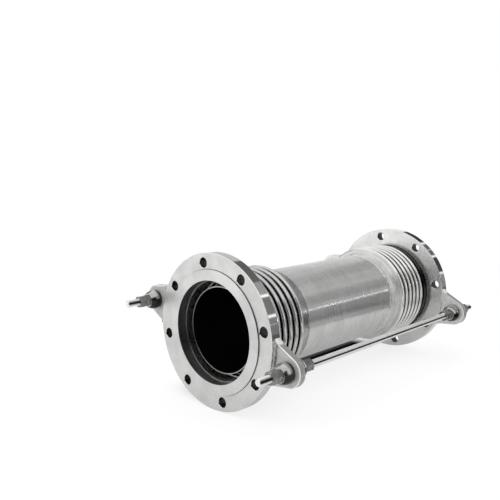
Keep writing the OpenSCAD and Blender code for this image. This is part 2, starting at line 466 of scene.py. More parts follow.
# The inside of pipe and liners is never polished: dull mill finish, painted nearly black as painted shade
# inside the tubes.
DULL_SHADED_INSIDE = SteelFinish("dull_shaded_inside", "#262626", "#1c1c1c", 0.50, 0.60, Lay.DRAWN, 3.0, 0.010, 60.0)
# The liner's outside and its cut edge are bright sheet.
LINER_SHEET = SteelFinish("liner_sheet_steel", "#c4c4c3", "#b0b0af", 0.25, 0.35, Lay.ROUND, 1.5, 0.008, 30.0)
# Lug plate, cut out and blasted clean: pale and matte.
BLASTED_LUG = SteelFinish(
    "blasted_lug_plate", "#bebebc", "#b2b2b1", 0.40, 0.50, Lay.GRAIN, 1.6, 0.05, 25.0, metallic=0.45
)
# The lug's edges are broken, and its corner beads dressed, with a grinder: bright lines and spots.
GROUND_EDGE = SteelFinish(
    "ground_lug_edge", "#f0f0ef", "#e4e4e3", 0.22, 0.28, Lay.GRAIN, 1.6, 0.02, 25.0, metallic=0.6
)
# The lug's sides are as the saw left them: duller than the faces.
SAWN_SIDE = SteelFinish(
    "sawn_lug_side", "#acacaa", "#9a9a98", 0.30, 0.42, Lay.GRAIN, 1.6, 0.05, 14.0, metallic=0.6
)
# Bead left as laid and brushed: small bright and dull spots.
BRUSHED_WELD = SteelFinish("brushed_weld_bead", "#d4d4d2", "#a0a09e", 0.24, 0.42, Lay.GRAIN, 1.2, 0.10, 6.0)
# Beads round the pipe are dressed with a brush wheel: smooth. The far copy is painted bright and the near one
# darker: painted light.
DRESSED_WELDS = {
    End.NEAR: SteelFinish("dull_dressed_bead", "#a8a8a7", "#8c8c8b", 0.22, 0.30, Lay.GRAIN, 2.4, 0.05, 9.0),
    End.FAR: SteelFinish("bright_dressed_bead", "#ececea", "#dcdcda", 0.20, 0.28, Lay.GRAIN, 2.4, 0.05, 9.0),
}
# Drawn bar: smooth and shiny, with faint lines along it, and a dark band painted low on its side as painted
# shade.
DRAWN_ROD = SteelFinish(
    "drawn_rod_steel", "#f0f0ef", "#e6e6e5", 0.28, 0.30, Lay.DRAWN, 3.0, 0.0004, 40.0,
    painted_shade_colour="#101010", painted_shade_top=0.42, painted_shade_bottom=-0.12, metallic=0.7,
)
# Cups are turned and polished, so they show light and dark bands; their lower side is painted darker as
# painted shade.
POLISHED_CUP = SteelFinish(
    "polished_cup_steel", "#cacac9", "#b4b4b3", 0.17, 0.22, Lay.TURNED, 0.8, 0.002, 20.0,
    painted_shade_colour="#383838",
)
# Seat rings are painted dark grey, with a faint sheen: painted shade round the foot of the cup.
SHADED_SEAT = SteelFinish("oiled_seat_ring", "#5a5a59", "#484847", 0.26, 0.34, Lay.TURNED, 0.8, 0.004, 20.0)
# Nuts keep their forged and tumbled skin: grey and grainy.
TUMBLED_NUT = SteelFinish("tumbled_nut_steel", "#a4a4a3", "#80807f", 0.30, 0.42, Lay.GRAIN, 1.0, 0.08, 7.0)


@dataclass(frozen=True)
class Axis:
    """A right-handed frame: heights run along the axis, and angles start at a direction across it."""

    origin: np.ndarray
    along: np.ndarray
    start: np.ndarray

    def place(self, radius: np.ndarray, angle: np.ndarray, height: np.ndarray) -> np.ndarray:
        """Origin, plus height along the axis, plus radius times (cos start + sin (along x start)).

        Args:
            radius: Distances from the axis.
            angle: Angles from the start direction, in radians.
            height: Distances along the axis.

        Returns:
            The points, with one more dimension than the inputs together.
        """
        across = np.cross(self.along, self.start)
        radius, angle, height = np.broadcast_arrays(radius, angle, height)
        turned = np.cos(angle)[..., None] * self.start + np.sin(angle)[..., None] * across
        return self.origin + height[..., None] * self.along + radius[..., None] * turned

    def flat(self, points: np.ndarray, height: np.ndarray | float) -> np.ndarray:
        """Origin, plus x along the start direction, plus y across it, plus height along the axis."""
        x, y = points[..., 0], points[..., 1]
        return self.place(np.hypot(x, y), np.arctan2(y, x), height)


@dataclass(frozen=True)
class Layout:
    """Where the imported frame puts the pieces. Lengths are in metres, heights from a sealing face."""

    half_length: float
    flange_r: float
    flange_back: float
    collar_r: float
    collar_end: float
    tail_start: float
    crest_r: float
    cuff_end: float
    pipe_start: float
    rod_reach: float
    rod_tip: float
    lug_way: np.ndarray

    @classmethod
    def from_frame(cls) -> "Layout":
        """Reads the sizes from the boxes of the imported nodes.

        Returns:
            The layout.
        """
        flange_low, flange_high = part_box("near_flange")
        collar_low, collar_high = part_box("near_collar")
        bellows_low, bellows_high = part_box("near_bellows")
        pipe_low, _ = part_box("centre_pipe")
        rod_low, rod_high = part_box("left_tie_rod")
        half = -flange_low.x
        rod = (rod_low + rod_high) / 2
        reach = math.hypot(rod.y, rod.z)
        return cls(
            half_length=half,
            flange_r=flange_high.z,
            flange_back=flange_high.x + half,
            collar_r=collar_high.z,
            collar_end=collar_high.x + half,
            tail_start=bellows_low.x + half,
            crest_r=bellows_high.z,
            cuff_end=bellows_high.x + half,
            pipe_start=pipe_low.x + half,
            rod_reach=reach,
            rod_tip=rod_high.x,
            lug_way=np.array([0.0, rod.y / reach, rod.z / reach]),
        )

    def end_axis(self, end: End) -> Axis:
        """Axis of one end: heights from its sealing face into the joint, angles from the left rod."""
        along = np.array([end.sign, 0.0, 0.0])
        return Axis(-self.half_length * along, along, self.lug_way)

    def rod_centre(self, side: Side) -> np.ndarray:
        """Point on a tie rod's axis, halfway along the joint."""
        return side.sign * self.rod_reach * self.lug_way

    def rod_line(self, side: Side) -> Pair:
        """Y and Z of a tie rod's axis."""
        _, y, z = self.rod_centre(side)
        return float(y), float(z)


def polar(radius: np.ndarray | float, angle: np.ndarray) -> np.ndarray:
    """Points at radius times (cos, sin) of the angle."""
    return np.column_stack([radius * np.cos(angle), radius * np.sin(angle)])


def arc(centre: Pair, radius: float, first: float, last: float, steps: int) -> np.ndarray:
    """Points of an arc: centre plus radius times (cos, sin) of evenly spaced angles.

    Args:
        centre: Centre as radius and height.
        radius: The arc's radius.
        first: First angle in degrees, from the outward direction towards greater heights.
        last: Last angle in degrees.
        steps: Number of straight steps.

    Returns:
        The points, one more than the steps.
    """
    return np.array(centre) + polar(radius, np.radians(np.linspace(first, last, steps + 1)))


def rounded(corners: list[tuple[float, float, float]], steps: int = 3, closed: bool = True) -> np.ndarray:
    """Outline through corners, each rounded by its own radius.

    At each corner the two sides are cut back by an equal length, and the points between follow
    the quadratic curve that has the corner as its middle control point. One more point on each
    side keeps the flat beside it flat in the shading.

    Args:
        corners: Each corner as radius, height and rounding.
        steps: Straight steps round a corner.
        closed: Whether the last corner joins the first.

    Returns:
        The outline's points.
    """
    beyond = 0.6
    points = np.array([c[:2] for c in corners])
    count = len(points)
    share = np.linspace(0.0, 1.0, steps + 1)[:, None]
    parts = []
    for i, (_, _, rounding) in enumerate(corners):
        here = points[i]
        if rounding <= 0.0 or (not closed and i in (0, count - 1)):
            parts.append(here[None, :])
            continue
        back, ahead = points[i - 1] - here, points[(i + 1) % count] - here
        back, ahead = rounding * back / np.linalg.norm(back), rounding * ahead / np.linalg.norm(ahead)
        first, last = here + back, here + ahead
        curve = (1 - share) ** 2 * first + 2 * share * (1 - share) * here + share**2 * last
        parts.append(np.vstack([first + back * beyond, curve, last + ahead * beyond]))
    return np.vstack(parts)


class Skin:
    """Collects grids of points into one closed mesh."""

    def __init__(self, name: str) -> None:
        """Starts an empty mesh."""
        self.name = name
        self.points: list[np.ndarray] = []
        self.faces: list[np.ndarray] = []
        self.slots: list[np.ndarray] = []
        self.count = 0

    def grid(self, points: np.ndarray, wrap_rows: bool, wrap_cols: bool, slot: int = 0) -> "Skin":
        """Adds a grid, whose quads join each point with the next in its row and column.

        Args:
            points: Points as rows, columns and coordinates.
            wrap_rows: Whether the last row joins the first.
            wrap_cols: Whether the last column joins the first.
            slot: Number of the material.

        Returns:
            This skin.
        """
        rows, cols = points.shape[:2]
        index = np.arange(rows * cols).reshape(rows, cols) + self.count
        below = np.concatenate([index, index[:1]]) if wrap_rows else index
        full = np.concatenate([below, below[:, :1]], axis=1) if wrap_cols else below
        quads = np.stack([full[:-1, :-1], full[:-1, 1:], full[1:, 1:], full[1:, :-1]], axis=-1).reshape(-1, 4)
        self.points.append(points.reshape(-1, 3))
        self.faces.append(quads)
        self.slots.append(np.full(len(quads), slot))
        self.count += rows * cols
        return self

    def bar(self, points: np.ndarray) -> "Skin":
        """Adds a bar whose sections are the grid's columns, each end closed by a fan to its middle.

        Args:
            points: Points as rows, columns and coordinates.

        Returns:
            This skin.
        """
        self.grid(points, True, False)
        for section in (points[:, :1], points[:, -1:]):
            middle = section.mean(axis=0, keepdims=True) * np.ones_like(section)
            self.grid(np.concatenate([section, middle], axis=1), True, False)
        return self

    def turned(
        self, axis: Axis, profile: np.ndarray | list[Pair], segments: int, closed: bool = True, slot: int = 0
    ) -> "Skin":
        """Adds a surface of revolution: each profile point goes round the axis at its own height.

        Args:
            axis: The axis.
            profile: Points as radius and height, counter-clockwise round the section.
            segments: Steps round the axis.
            closed: Whether the profile's last point joins its first.
            slot: Number of the material.

        Returns:
            This skin.
        """
        profile = np.asarray(profile)
        angle = np.arange(segments) * TURN / segments
        points = axis.place(profile[:, 0, None], angle[None, :], profile[:, 1, None])
        return self.grid(points, closed, True, slot)

    def shell(self, axis: Axis, outside: list[Pair], inside: list[Pair], segments: int) -> "Skin":
        """Adds a turned wall whose inside takes the second material.

        Args:
            axis: The axis.
            outside: Profile of the outside and the cut edges, as radius and height.
            inside: Profile of the inside.
            segments: Steps round the axis.

        Returns:
            This skin.
        """
        self.turned(axis, outside, segments, closed=False)
        return self.turned(axis, inside, segments, closed=False, slot=1)

    def build(
        self, body: str, slot: str, finishes: list[SteelFinish], *nodes: str, centre: Pair = (0.0, 0.0)
    ) -> bpy.types.Object:
        """Makes the Blender piece, sets its finish, and lets it ride on a body.

        Args:
            body: The CAD body that it moves with, or "" for none.
            slot: The record's material slot. Not used.
            finishes: The finishes, by number.
            *nodes: The CAD nodes that it stands for.
            centre: Y and Z of the axis that its tool marks go round.

        Returns:
            The piece.
        """
        mesh = bpy.data.meshes.new(self.name)
        faces = np.concatenate(self.faces)
        mesh.from_pydata(np.concatenate(self.points).tolist(), [], faces.tolist())
        mesh.polygons.foreach_set("material_index", np.concatenate(self.slots))
        work = bmesh.new()
        work.from_mesh(mesh)
        bmesh.ops.remove_doubles(work, verts=work.verts, dist=MERGE)
        bmesh.ops.recalc_face_normals(work, faces=work.faces)
        work.to_mesh(mesh)
        work.free()
        mesh.shade_smooth()
        mesh.set_sharp_from_angle(angle=SMOOTH_BELOW)
        for finish in finishes:
            mesh.materials.append(finish.material(centre))
        piece = show(self.name, mesh)
        if nodes:
            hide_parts(*nodes)
        if body:
            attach(piece, body)
        LOG.info("%s: %d faces", self.name, len(mesh.polygons))
        return piece


@dataclass(frozen=True)
class Flange:
    """Plate flange with a raised face, drilled with eight holes that straddle the lug line.

    The shares are parts of the edge's width. The raised face's corner is broken by that width,
    and the step under it leans outwards from one share to the other.
    """

    layout: Layout
    end: End
    bore_r: float = 110.0 * MM
    face_r: float = 134.0 * MM
    face_h: float = 3.0 * MM
    bolt_r: float = 147.5 * MM
    bolt_count: int = 8
    hole_r: float = 11.0 * MM
    hole_bevel: float = 0.7 * MM
    edge: float = 0.9 * MM
    flat_share: float = 1.6
    bore_share: float = 0.5
    corner_share: float = 0.4
    step_top_share: float = 0.8
    step_foot_share: float = 0.4
    arc_steps: int = 24
    side_steps: int = 10

    @property
    def flat_r(self) -> float:
        """Radius where the flat faces end, inside the rim's rounding."""
        return self.layout.flange_r - self.edge * self.flat_share

    def hole(self, skin: Skin, axis: Axis, number: int) -> None:
        """Adds one bolt hole and the sector of plate round it, front and back.

        Each surface is ruled: a point at share t is (1 - t) times the hole's circle plus t times
        the sector's outline, and the hole's wall is the same circle at other heights.

        Args:
            skin: The flange's mesh.
            axis: The end's axis.
            number: Number of the hole.
        """
        back, bevel = self.layout.flange_back, self.hole_bevel
        first, last = number * TURN / self.bolt_count, (number + 1) * TURN / self.bolt_count
        corners = [(self.flat_r, first), (self.flat_r, last), (self.face_r, last), (self.face_r, first)]
        steps = (self.arc_steps, self.side_steps) * 2
        path = np.vstack([
            np.linspace(here, there, count, endpoint=False)
            for here, there, count in zip(corners, corners[1:] + corners[:1], steps)
        ])
        outline = polar(path[:, 0], path[:, 1])
        centre = polar(self.bolt_r, np.array([(first + last) / 2]))
        ray = outline - centre
        ray /= np.linalg.norm(ray, axis=1)[:, None]
        share = np.array([0.0, 0.06, 0.5, 1.0])[:, None, None]
        plate = (1 - share) * (centre + ray * (self.hole_r + bevel)) + share * outline
        front, rear = axis.flat(plate, self.face_h), axis.flat(plate, back)
        circle = centre + ray * self.hole_r
        top, foot = axis.flat(circle, self.face_h + bevel), axis.flat(circle, back - bevel)
        walls = (np.stack([front[0], top]), np.stack([top, foot]), np.stack([foot, rear[0]]))
        for grid, slot in zip((front, rear, *walls), (0, 0, 1, 3, 1)):
            skin.grid(grid, False, True, slot)

    def make(self) -> None:
        """Builds the flange."""
        axis, edge = self.layout.end_axis(self.end), self.edge
        rim, back, face_h = self.layout.flange_r, self.layout.flange_back, self.face_h
        skin = Skin(f"{self.end.value}_plate_flange")
        for number in range(self.bolt_count):
            self.hole(skin, axis, number)
        step_r, foot_r = (self.face_r - edge * share for share in (self.step_top_share, self.step_foot_share))
        face = [
            (self.bore_r, edge, 0.0), (self.bore_r, 0.0, edge * self.bore_share),
            (self.face_r - edge, 0.0, edge * self.corner_share), (step_r, edge, 0.0),
        ]
        sides = [(self.flat_r, face_h, 0.0), (rim, face_h, edge), (rim, back, edge), (self.flat_r, back, 0.0)]
        for profile, slot in (
            (rounded(face, closed=False), 0),
            ([(step_r, edge), (foot_r, face_h), (self.face_r, face_h)], 2),
            ([(self.bore_r, back), (self.bore_r, edge)], 4),
            ([(self.face_r, back), (self.bore_r, back)], 0),
            (rounded(sides, closed=False), 1),
        ):
            skin.turned(axis, profile, self.bolt_count * self.arc_steps, closed=False, slot=slot)
        finishes = [TURNED_FLANGES[self.end], POLISHED_RIM, SHADED_STEP, DRILLED_HOLE, BORED_WALL]
        skin.build(self.end.body, "turned_flange", finishes, f"{self.end.value}_flange")


@dataclass(frozen=True)
class Bead:
    """Weld bead round a tube, laid by hand.

    Its section is an ellipse. Ripples slanted across the bead swell the section, and slow waves,
    each the mean of sines with seeded phases, shift it to and fro and change its width.
    """

    name: str
    axis: Axis
    radius: float
    height: float
    half_width: float
    rise: float
    ripple: float
    seed: int
    finish: SteelFinish
    section_points: int = 14
    points_a_ripple: int = 6
    waves: tuple[float, ...] = (3.0, 7.0, 13.0, 23.0, 41.0)
    shift: float = 0.30
    width_change: float = 0.35
    swelling: float = 0.10
    slant: float = 0.9

    def make(self, body: str, slot: str) -> None:
        """Builds the bead.

        Args:
            body: The CAD body that it moves with.
            slot: The record's material slot.
        """
        ripples = int(TURN * self.radius / self.ripple)
        count = ripples * self.points_a_ripple
        angle = np.arange(count) * TURN / count
        phases = np.random.default_rng(self.seed).uniform(0.0, TURN, (2, len(self.waves)))
        slow, wide = np.sin(np.array(self.waves)[:, None] * angle + phases[..., None]).mean(axis=1)
        around = np.arange(self.section_points)[:, None] * TURN / self.section_points
        swell = 1.0 + self.swelling * np.abs(np.sin((ripples * angle + self.slant * np.cos(around)) / 2))
        swell = swell * (1.0 + self.width_change * wide)
        radius = self.radius + self.rise * swell * np.cos(around)
        height = self.height + self.half_width * (self.shift * slow + swell * np.sin(around))
        skin = Skin(self.name).grid(self.axis.place(radius, angle, height), True, True)
        skin.build(body, slot, [self.finish])


@dataclass(frozen=True)
class Collar:
    """Ring over the bellows' plain end, with the fillet weld that holds it to the flange."""

    layout: Layout
    end: End
    bore_r: float = 110.0 * MM
    bore_bevel: float = 0.4 * MM
    bevel: float = 1.5 * MM
    weld: float = 1.6 * MM
    ripple: float = 6.0 * MM
    seed: int = 11
    segments: int = 192

    def make(self) -> None:
        """Builds the collar and its weld."""
        layout, axis = self.layout, self.layout.end_axis(self.end)
        outer, back, top = layout.collar_r, layout.flange_back, layout.collar_end
        corners = [
            (self.bore_r, back, 0.0), (outer, back, 0.0),
            (outer, top, self.bevel), (self.bore_r, top, self.bore_bevel),
        ]
        skin = Skin(f"{self.end.value}_bellows_collar").turned(axis, rounded(corners), self.segments)
        skin.build(self.end.body, "turned_collar", [SHADED_COLLAR], f"{self.end.value}_collar")
        name, leg = f"{self.end.value}_collar_weld", self.weld
        bead = Bead(name, axis, outer, back, leg, leg, self.ripple, self.seed, SHADED_COLLAR)
        bead.make(self.end.body, "turned_collar")


@dataclass(frozen=True)
class Bellows:
    """Sheet pressed into U-shaped convolutions, with a plain neck at one end and a cuff at the other.

    The middle line of the wall runs straight along the neck and the cuff, turns outwards
    through a quarter bend, and goes up and down between half bends over the crests and round the
    roots. The two faces of the wall lie half its thickness either side.
    """

    layout: Layout
    end: End
    wall: float = 1.5 * MM
    tail_r: float = 109.0 * MM
    root_r: float = 105.75 * MM
    neck: float = 8.3 * MM
    pitch: float = 18.4 * MM
    convolutions: int = 6
    cuff_side_r: float = 122.6 * MM
    bend_steps: int = 10
    segments: int = 200

    @property
    def waves_start(self) -> float:
        """Height where the first convolution starts."""
        return self.layout.collar_end + self.neck

    @property
    def waves_end(self) -> float:
        """Height where the last convolution ends."""
        return self.waves_start + self.convolutions * self.pitch

    def face(self, offset: float) -> np.ndarray:
        """One face of the wall, from the neck to the cuff.

        Args:
            offset: Distance outwards from the wall's middle line.

        Returns:
            Points as radius and height.
        """
        bend, steps = self.pitch / 4, self.bend_steps
        crest_r = self.layout.crest_r - self.wall / 2 - bend
        tail_bend_r, root_bend_r = self.tail_r + bend, self.root_r + bend
        convex, hollow = bend + offset, bend - offset
        parts = [
            np.array([[self.tail_r + offset, self.layout.tail_start]]),
            arc((tail_bend_r, self.waves_start), hollow, 180.0, 90.0, steps // 2),
        ]
        for k in range(self.convolutions):
            start = self.waves_start + k * self.pitch
            if k:
                parts.append(arc((root_bend_r, start), hollow, 270.0, 90.0, steps))
            parts.append(arc((crest_r, start + self.pitch / 2), convex, -90.0, 90.0, steps))
        parts.append(arc((tail_bend_r, self.waves_end), hollow, 270.0, 180.0, steps // 2))
        parts.append(np.array([[self.tail_r + offset, self.layout.cuff_end]]))
        return np.vstack(parts)

    def make(self) -> None:
        """Builds the bellows.

        On the cuff's side of the last crest the stored radius is raised, so that the painted groove
        shade there stays paler than in the others.
        """
        outer, inner = self.face(self.wall / 2), self.face(-self.wall / 2)
        axis = self.layout.end_axis(self.end)
        skin = Skin(f"{self.end.value}_formed_bellows")
        edges = [(inner[0], outer[0]), (outer[-1], inner[-1])]
        for strip, slot in zip((outer[:2], outer[1:-1], outer[-2:], inner[::-1], *edges), (1, 0, 1, 1, 1, 1)):
            skin.turned(axis, strip, self.segments, closed=False, slot=slot)
        finishes = [FORMED_SHEETS[self.end], CUFF_SHEETS[self.end]]
        piece = skin.build("", "formed_bellows", finishes, f"{self.end.value}_bellows")
        places = np.array([v.co for v in piece.data.vertices])
        radius = np.hypot(places[:, 1], places[:, 2])
        past_crest = np.abs(places[:, 0]) < self.layout.half_length - self.waves_end + self.pitch / 2
        radius = np.where(past_crest, np.maximum(radius, self.cuff_side_r), radius)
        piece.data.attributes.new(RADIUS, "FLOAT", "POINT").data.foreach_set("value", radius)
        if self.end is End.NEAR:
            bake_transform(piece)
        else:
            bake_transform(piece)


@dataclass(frozen=True)
class CentrePipe:
    """Pipe rolled from sheet, with the beads that join the cuffs to it."""

    layout: Layout
    radius: float = 108.0 * MM
    wall: float = 4.0 * MM
    bead_half_width: float = 2.8 * MM
    bead_rise: float = 2.0 * MM
    ripple: float = 9.0 * MM
    seeds: tuple[int, int] = (21, 22)
    segments: int = 192

    def make(self) -> None:
        """Builds the pipe and its beads."""
        layout, axis, outer = self.layout, self.layout.end_axis(End.NEAR), self.radius
        first, last = layout.pipe_start, 2 * layout.half_length - layout.pipe_start
        inner = outer - self.wall
        skin = Skin("rolled_centre_pipe").shell(
            axis, [(inner, first), (outer, first), (outer, last), (inner, last)],
            [(inner, last), (inner, first)], self.segments,
        )
        skin.build("middle", "satin_pipe", [SATIN_PIPE, DULL_SHADED_INSIDE], "centre_pipe")
        half, rise = self.bead_half_width, self.bead_rise
        height = layout.cuff_end + half * 0.5
        for end, seed in zip(End, self.seeds):
            name, axis, finish = f"{end.value}_cuff_weld", layout.end_axis(end), DRESSED_WELDS[end]
            bead = Bead(name, axis, outer, height, half, rise, self.ripple, seed, finish)
            bead.make("middle", "satin_pipe")


@dataclass(frozen=True)
class Liner:
    """Sleeve that guides the flow past a bellows, flared to the band that it is welded by."""

    layout: Layout
    node: str
    end: End
    body: str
    free: float
    flare: float
    band_r: float
    sleeve_r: float = 94.0 * MM
    wall: float = 2.0 * MM
    band: float = 8.0 * MM
    segments: int = 160

    def make(self) -> None:
        """Builds the liner, whose flare leans at 45 degrees."""
        way = 1.0 if self.flare > self.free else -1.0
        mitre = way * self.wall * math.tan(math.radians(22.5))
        start = self.flare + way * (self.band_r - self.sleeve_r)
        stop = start + way * self.band
        sleeve, band = self.sleeve_r - self.wall, self.band_r - self.wall
        outside = [
            (sleeve, self.free), (self.sleeve_r, self.free), (self.sleeve_r, self.flare),
            (self.band_r, start), (self.band_r, stop), (band, stop),
        ]
        inside = [(band, stop), (band, start + mitre), (sleeve, self.flare + mitre), (sleeve, self.free)]
        axis = self.layout.end_axis(self.end)
        skin = Skin(f"{self.node}_sleeve").shell(axis, outside, inside, self.segments)
        skin.build(self.body, "liner_sheet", [LINER_SHEET, DULL_SHADED_INSIDE], self.node)


@dataclass(frozen=True)
class Lug:
    """Plate with a rounded end round the tie rod, whose straight sides run to the flange rim.

    Each weld's face is close to a quarter of an ellipse, with ripples along it. Its back is one
    line sunk a little into the plate.
    """

    layout: Layout
    end: End
    side: Side
    front: float = 11.0 * MM
    thickness: float = 16.0 * MM
    end_r: float = 31.99 * MM
    base_half: float = 46.5 * MM
    hole_r: float = 10.0 * MM
    hole_bevel: float = 0.42 * MM
    edge: float = 1.2 * MM
    flat_share: float = 1.8
    round_share: float = 0.3
    gap: float = 0.1 * MM
    ripple: float = 4.0 * MM
    weld_leg: float = 4.6 * MM
    weld_short: float = 0.35
    weld_ripple: float = 0.08
    weld_bulge: float = 0.25
    weld_sink: float = 0.4 * MM
    weld_end_size: float = 0.35
    crater_rise: float = 0.55
    crater_width: float = 0.9
    corner_leg: float = 4.5 * MM
    corner_run: float = 12.0 * MM
    corner_ripple: float = 0.10
    corner_sink: float = 0.5 * MM
    corner_inset: float = 0.3 * MM
    corner_end_size: float = 0.45
    arc_steps: int = 40
    side_steps: int = 6
    rim_steps: int = 16
    weld_points: int = 121
    corner_points: int = 25
    quarter_points: int = 9

    @property
    def name(self) -> str:
        """The end and side, as the frame names them."""
        return f"{self.end.value}_{self.side.value}"

    @property
    def axis(self) -> Axis:
        """The end's axis, with angles from the middle of this lug."""
        axis = self.layout.end_axis(self.end)
        return Axis(axis.origin, axis.along, self.side.sign * axis.start)

    @property
    def corner(self) -> np.ndarray:
        """Where a side meets the flange rim: distance out along the lug, and across it."""
        return np.array([math.sqrt(self.layout.flange_r**2 - self.base_half**2), self.base_half])

    def outline(self) -> np.ndarray:
        """Outline round the hole: the end's arc, one side, the rim's arc, the other side.

        The sides are tangent to the end's arc and stop where the base is as wide as it says.

        Returns:
            Points as distance out along the lug and across it, from the pipe axis.
        """
        middle, rim = np.array([self.layout.rod_reach, 0.0]), self.layout.flange_r
        arm = self.corner - middle
        lean = math.atan2(arm[1], arm[0]) - math.acos(self.end_r / np.hypot(*arm))
        end = middle + polar(self.end_r, np.linspace(-lean, lean, self.arc_steps + 1))
        side = np.linspace(end[-1], self.corner, self.side_steps, endpoint=False)
        half = math.asin(self.base_half / rim)
        base = polar(rim + self.gap, np.linspace(half, -half, self.rim_steps))
        return np.vstack([end[:-1], side, base, (side[1:] * [1.0, -1.0])[::-1]])

    def make(self) -> None:
        """Builds the lug and its welds.

        Its section loop runs from the hole's wall over the faces and sides. Each loop is the
        outline drawn in towards the hole, so that the edges are rounded. The shares are parts of
        the edge's width, and the loops of the back mirror those of the front.
        """
        middle = np.array([self.layout.rod_reach, 0.0])
        ray = self.outline() - middle
        length = np.linalg.norm(ray, axis=1)
        hole = np.full(len(length), self.hole_r)
        edge, soft = self.edge, self.hole_bevel
        flat, bend = edge * self.flat_share, edge * self.round_share
        half = [
            (hole, soft), (hole + soft, 0.0), (length - flat, 0.0), (length - edge, 0.0),
            (length - bend, bend), (length, edge), (length, flat),
        ]
        distance = np.stack([reach for reach, _ in half + half[::-1]])
        depth = np.array([level for _, level in half])
        height = self.front + np.concatenate([depth, self.thickness - depth[::-1]])
        points = middle + distance[..., None] * (ray / length[:, None])
        section = self.axis.flat(points, height[:, None])
        skin = Skin(f"{self.name}_rod_lug")
        for first, last, slot in ((0, 3, 0), (2, 6, 1), (5, 10, 2), (9, 13, 1), (12, 14, 0)):
            skin.grid(section[first:last], False, True, slot)
        skin.grid(section[[-1, 0]], False, True)
        skin.build(self.end.body, "cut_lug", [BLASTED_LUG, GROUND_EDGE, SAWN_SIDE], f"{self.name}_lug")
        self.weld()
        for hand, way in (("upper", 1.0), ("lower", -1.0)):
            self.corner_weld(hand, way)

    def ripples(self, along: np.ndarray, rise: float) -> np.ndarray:
        """1 plus the rise times a row of arches along a bead."""
        return 1.0 + rise * np.abs(np.sin(along / self.ripple * math.pi))

    def corner_weld(self, hand: str, way: float) -> None:
        """Builds the short bead through the lug's thickness where its side meets the flange rim.

        Its section runs from the rim's tangent to the lug's side.

        Args:
            hand: Which of the lug's two sides, for the name.
            way: 1 for the upper side, -1 for the lower.
        """
        corner, inset = self.corner, self.corner_inset
        tangent = np.array([-corner[1], corner[0]]) / self.layout.flange_r
        side = self.outline()[self.arc_steps] - corner
        side /= np.linalg.norm(side)
        slope = np.linspace(0.0, math.pi / 2, self.quarter_points)[:, None, None]
        depth = np.linspace(inset, self.thickness - inset, self.corner_points)
        ends = np.sin(np.linspace(0.0, math.pi, self.corner_points)) ** 0.25
        size = self.corner_end_size + (1.0 - self.corner_end_size) * ends
        size = (self.ripples(depth, self.corner_ripple) * size)[:, None]
        face = size * (np.cos(slope) * self.corner_leg * tangent + np.sin(slope) * self.corner_run * side)
        root = -self.corner_sink * (tangent + side) * np.ones_like(face[:1])
        rings = (corner + np.concatenate([face, root])) * [1.0, way]
        skin = Skin(f"{self.name}_{hand}_corner_weld").bar(self.axis.flat(rings, self.front + depth))
        skin.build(self.end.body, "cut_lug", [GROUND_EDGE])

    def weld(self) -> None:
        """Builds the fillet weld along the rim, thinner at its ends and thick just before them."""
        rim, leg, sink = self.layout.flange_r, self.weld_leg, self.weld_sink
        half = math.asin(self.base_half / rim) - leg * self.weld_short / rim
        sweep = np.linspace(-half, half, self.weld_points)
        from_end = (half - np.abs(sweep)) * rim
        taper = np.clip(from_end / leg, 0.0, 1.0) ** 0.5
        crater = 1.0 + self.crater_rise * np.exp(-(((from_end - leg) / (self.crater_width * leg)) ** 2))
        slope = np.linspace(0.0, math.pi / 2, self.quarter_points)[:, None]
        bulge = 1.0 + self.weld_bulge * np.sin(2 * slope)
        size = leg * (self.weld_end_size + (1.0 - self.weld_end_size) * taper) * crater
        size = size * self.ripples(sweep * rim, self.weld_ripple) * bulge
        root = np.zeros((1, len(sweep)))
        radius = rim - sink + np.vstack([size * np.sin(slope), root])
        height = self.front + sink - np.vstack([size * np.cos(slope), root])
        skin = Skin(f"{self.name}_lug_weld").bar(self.axis.place(radius, sweep, height))
        skin.build(self.end.body, "cut_lug", [BRUSHED_WELD])


